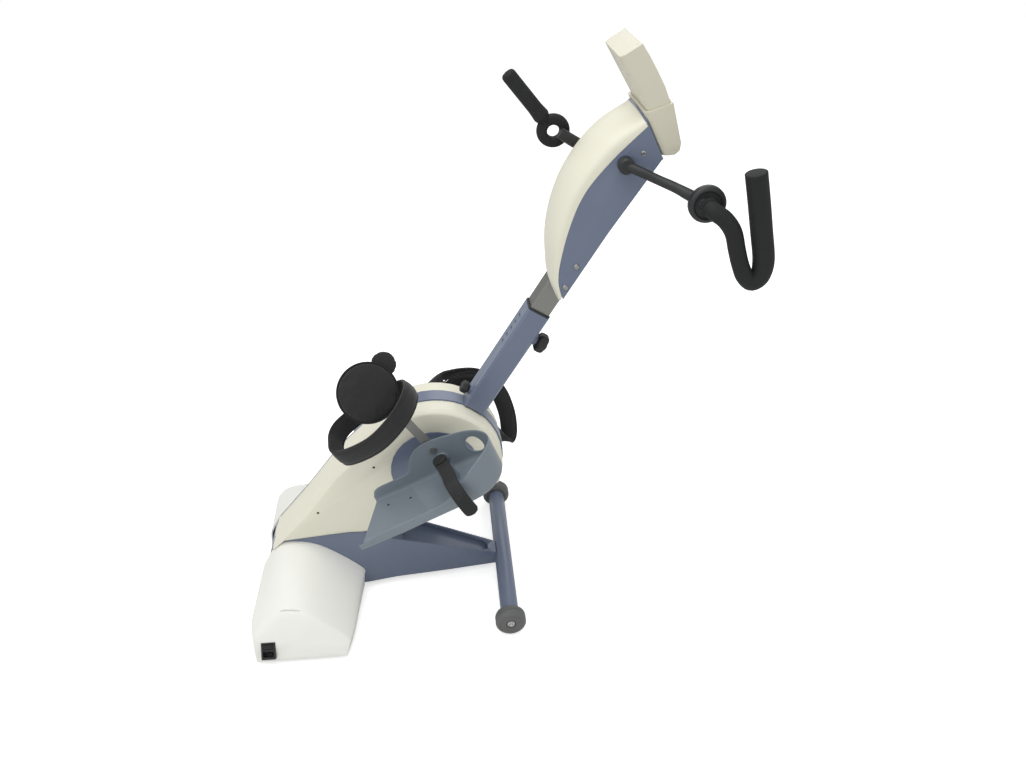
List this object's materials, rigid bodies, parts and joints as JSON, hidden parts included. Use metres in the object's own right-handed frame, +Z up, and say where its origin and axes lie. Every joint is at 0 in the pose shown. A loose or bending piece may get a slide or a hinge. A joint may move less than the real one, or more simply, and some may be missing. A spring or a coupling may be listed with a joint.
{
  "type": "active passive trainer",
  "caption": "Motorised arm and leg rehabilitation trainer: crank-driven foot shells with calf guides, a telescopic column, turning hand grips and a small display head.",
  "frame": {"origin": "middle of the footprint of the whole machine as pictured, on the floor", "axes": "+X from the mains inlet end towards the person who uses it, +Y to the far side, +Z up"},
  "size_m": [0.9936, 0.566, 1.148],
  "materials": {
    "bearing_steel": "ground",
    "belt_rubber": "matte",
    "black_plastic": "satin",
    "black_rubber": "matte",
    "black_webbing": "woven, padded",
    "blue_paint": "satin paint",
    "board_green": "coated board",
    "bright_steel": "bright",
    "cream_plastic": "satin",
    "grey_blue_shell": "satin",
    "motor_black": "satin",
    "roller_grey": "satin",
    "satin_steel": "satin",
    "screen_dark": "gloss window"
  },
  "bodies": {
    "base": {"base_frame": "blue_paint", "roller_axle": "bright_steel", "base_cover_near": "cream_plastic", "base_cover_far": "cream_plastic", "base_plate": "satin_steel", "base_foot_near": "black_rubber", "base_foot_far": "black_rubber", "mains_inlet": "black_plastic", "control_board": "board_green", "leg_frame": "blue_paint", "leg_shell_near": "cream_plastic", "leg_shell_far": "cream_plastic", "leg_trim_near": "blue_paint", "leg_trim_far": "blue_paint", "leg_bearing_near": "bearing_steel", "leg_bearing_far": "bearing_steel", "leg_motor": "motor_black", "leg_belt": "belt_rubber", "column": "blue_paint", "column_bush": "black_plastic"},
    "roller_near": {"rear_roller_near": "roller_grey"},
    "roller_far": {"rear_roller_far": "roller_grey"},
    "switch": {"mains_switch": "black_rubber"},
    "crank": {"leg_axle": "bright_steel", "leg_crank_near": "satin_steel", "leg_crank_far": "satin_steel", "pedal_pin_near": "bright_steel", "pedal_pin_far": "bright_steel"},
    "leg_motor_rotor": {"leg_motor_pulley": "satin_steel"},
    "foot_near": {"foot_shell_near": "grey_blue_shell"},
    "foot_far": {"foot_shell_far": "grey_blue_shell"},
    "bail_near": {"foot_bail_near": "black_rubber"},
    "bail_far": {"foot_bail_far": "black_rubber"},
    "guide_near": {"leg_guide_bar_near": "satin_steel"},
    "guide_far": {"leg_guide_bar_far": "satin_steel"},
    "pad_near": {"calf_pad_near": "black_rubber", "calf_strap_near": "black_webbing"},
    "pad_far": {"calf_pad_far": "black_rubber", "calf_strap_far": "black_webbing"},
    "clamp": {"clamp_knob": "black_plastic"},
    "stop": {"stop_knob": "black_plastic"},
    "head": {"telescope_tube": "satin_steel", "head_frame": "blue_paint", "head_cover": "cream_plastic", "head_bolt_low": "bright_steel", "head_bolt_high": "bright_steel", "arm_bearing_near": "bearing_steel", "arm_bearing_far": "bearing_steel", "arm_motor": "motor_black", "arm_motor_bracket": "satin_steel", "arm_belt": "belt_rubber", "control_panel": "cream_plastic", "display_screen": "screen_dark", "display_socket": "cream_plastic"},
    "arms": {"arm_shaft": "bright_steel", "arm_crank_near": "black_plastic", "arm_crank_far": "black_plastic"},
    "arm_motor_rotor": {"arm_motor_pulley": "satin_steel"},
    "grip_near": {"handle_near": "black_rubber"},
    "grip_far": {"handle_far": "black_rubber"}
  },
  "joints": [
    {"name": "roller_near_spin", "type": "hinge", "parent": "base", "child": "roller_near", "pos_m": [0.03425, -0.2172, 0.032], "axis": [0, 1, 0], "continuous": true},
    {"name": "roller_far_spin", "type": "hinge", "parent": "base", "child": "roller_far", "pos_m": [0.03425, 0.2172, 0.032], "axis": [0, 1, 0], "continuous": true},
    {"name": "mains_switch_rock", "type": "hinge", "parent": "base", "child": "switch", "pos_m": [-0.45875, -0.25569, 0.04333], "axis": [1, 0, 0], "range_deg": [-9, 2]},
    {"name": "leg_crank_turn", "type": "hinge", "parent": "base", "child": "crank", "pos_m": [-0.10475, 0, 0.318], "axis": [0, 1, 0], "continuous": true},
    {"name": "leg_motor_turn", "type": "hinge", "parent": "base", "child": "leg_motor_rotor", "pos_m": [-0.29575, 0, 0.222], "axis": [0, 1, 0], "continuous": true},
    {"name": "foot_near_swing", "type": "hinge", "parent": "crank", "child": "foot_near", "pos_m": [-0.08819, -0.0949, 0.37982], "axis": [0, 1, 0], "continuous": true},
    {"name": "foot_far_swing", "type": "hinge", "parent": "crank", "child": "foot_far", "pos_m": [-0.12131, 0.0949, 0.25618], "axis": [0, 1, 0], "continuous": true},
    {"name": "bail_near_lift", "type": "hinge", "parent": "foot_near", "child": "bail_near", "pos_m": [-0.08456, -0.153, 0.38275], "axis": [-0.9135, 0, -0.4067], "range_deg": [0, 65]},
    {"name": "bail_far_lift", "type": "hinge", "parent": "foot_far", "child": "bail_far", "pos_m": [-0.11674, 0.153, 0.25529], "axis": [0.8988, 0, -0.4384], "range_deg": [0, 50]},
    {"name": "guide_near_tilt", "type": "hinge", "parent": "foot_near", "child": "guide_near", "pos_m": [-0.10701, -0.11, 0.40121], "axis": [0, 1, 0], "range_deg": [-30, 15]},
    {"name": "guide_far_tilt", "type": "hinge", "parent": "foot_far", "child": "guide_far", "pos_m": [-0.11703, 0.11, 0.28435], "axis": [0, 1, 0], "range_deg": [-25, 2]},
    {"name": "calf_pad_near_slide", "type": "slide", "parent": "guide_near", "child": "pad_near", "axis": [-0.5807, 0, 0.8141], "range_m": [-0.04, 0.006]},
    {"name": "calf_pad_far_slide", "type": "slide", "parent": "guide_far", "child": "pad_far", "axis": [0.682, 0, 0.7314], "range_m": [-0.002, 0.055]},
    {"name": "clamp_knob_turn", "type": "hinge", "parent": "base", "child": "clamp", "pos_m": [0.10959, 0, 0.57489], "axis": [0.8478, 0, -0.5303], "continuous": true},
    {"name": "stop_knob_turn", "type": "hinge", "parent": "base", "child": "stop", "pos_m": [-0.02943, 0, 0.47106], "axis": [-0.8478, 0, 0.5303], "continuous": true},
    {"name": "head_height", "type": "slide", "parent": "base", "child": "head", "axis": [0.5303, 0, 0.8478], "range_m": [0, 0.12]},
    {"name": "arm_crank_turn", "type": "hinge", "parent": "head", "child": "arms", "pos_m": [0.25425, 0, 0.952], "axis": [0, 1, 0], "continuous": true},
    {"name": "arm_motor_turn", "type": "hinge", "parent": "head", "child": "arm_motor_rotor", "pos_m": [0.21425, 0, 0.858], "axis": [0, 1, 0], "continuous": true},
    {"name": "handle_near_swivel", "type": "hinge", "parent": "arms", "child": "grip_near", "pos_m": [0.38025, -0.17, 0.9034], "axis": [0, 1, 0], "continuous": true},
    {"name": "handle_far_swivel", "type": "hinge", "parent": "arms", "child": "grip_far", "pos_m": [0.17575, 0.1265, 0.9525], "axis": [0, 1, 0], "range_deg": [-150, 135]}
  ],
  "couplings": [
    {"joint": "leg_motor_turn", "follows": "leg_crank_turn", "ratio": 4.4},
    {"joint": "foot_near_swing", "follows": "leg_crank_turn", "ratio": -1},
    {"joint": "foot_far_swing", "follows": "leg_crank_turn", "ratio": -1},
    {"joint": "arm_motor_turn", "follows": "arm_crank_turn", "ratio": 3.3333}
  ]
}
